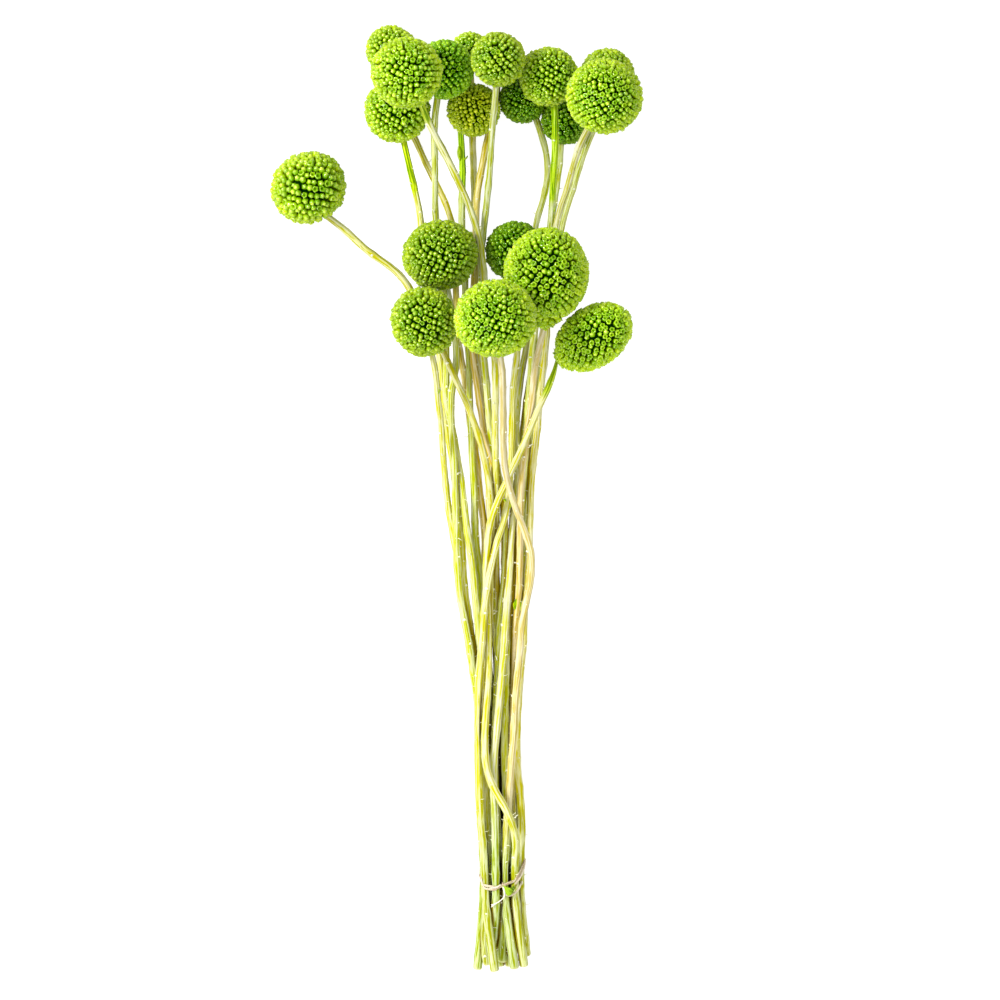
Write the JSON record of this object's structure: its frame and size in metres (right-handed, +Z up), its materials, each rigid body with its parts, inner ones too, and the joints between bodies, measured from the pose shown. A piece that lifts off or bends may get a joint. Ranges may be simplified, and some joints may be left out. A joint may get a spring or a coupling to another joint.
{
  "type": "tied bunch of billy buttons stems",
  "caption": "Tied bunch of dyed green billy buttons: round floret-covered heads on long bare stems, bound near the cut ends and laid flat.",
  "frame": {"origin": "under the middle of the whole bunch, on the surface it lies on", "axes": "+Y along the bunch from the cut ends to the heads, +Z up from the surface, +X to the right as seen from above with the heads at the far end"},
  "size_m": [0.1668, 0.4264, 0.0909],
  "materials": {
    "florets_green": "matt, dense small florets",
    "florets_deep_green": "matt, dense small florets",
    "florets_olive": "matt, dense small florets",
    "stem_yellow_green": "satin, ribbed lengthwise, with leaf scars",
    "stem_tan": "satin, ribbed lengthwise, with leaf scars",
    "stem_cream": "satin, ribbed lengthwise, with leaf scars",
    "raffia": "matt, fibrous",
    "leaf": "matt"
  },
  "bodies": {
    "root": {"head_01": "florets_green", "head_02": "florets_green", "head_03": "florets_green", "head_04": "florets_deep_green", "head_05": "florets_green", "head_06": "florets_olive", "head_07": "florets_green", "head_08": "florets_olive", "head_09": "florets_green", "head_10": "florets_deep_green", "head_11": "florets_green", "head_12": "florets_green", "head_13": "florets_green", "head_14": "florets_green", "head_15": "florets_deep_green", "head_16": "florets_green", "head_17": "florets_green", "head_18": "florets_green", "head_19": "florets_green", "head_20": "florets_deep_green", "stem_01": "stem_tan", "stem_02": "stem_yellow_green", "stem_03": "stem_yellow_green", "stem_04": "stem_yellow_green", "stem_05": "stem_cream", "stem_06": "stem_tan", "stem_07": "stem_yellow_green", "stem_08": "stem_cream", "stem_09": "stem_yellow_green", "stem_10": "stem_yellow_green", "stem_11": "stem_yellow_green", "stem_12": "stem_yellow_green", "stem_13": "stem_yellow_green", "stem_14": "stem_yellow_green", "stem_15": "stem_yellow_green", "stem_16": "stem_tan", "stem_17": "stem_yellow_green", "stem_18": "stem_tan", "stem_19": "stem_yellow_green", "stem_20": "stem_tan", "tie": "raffia", "leaf_scrap": "leaf"}
  },
  "joints": []
}
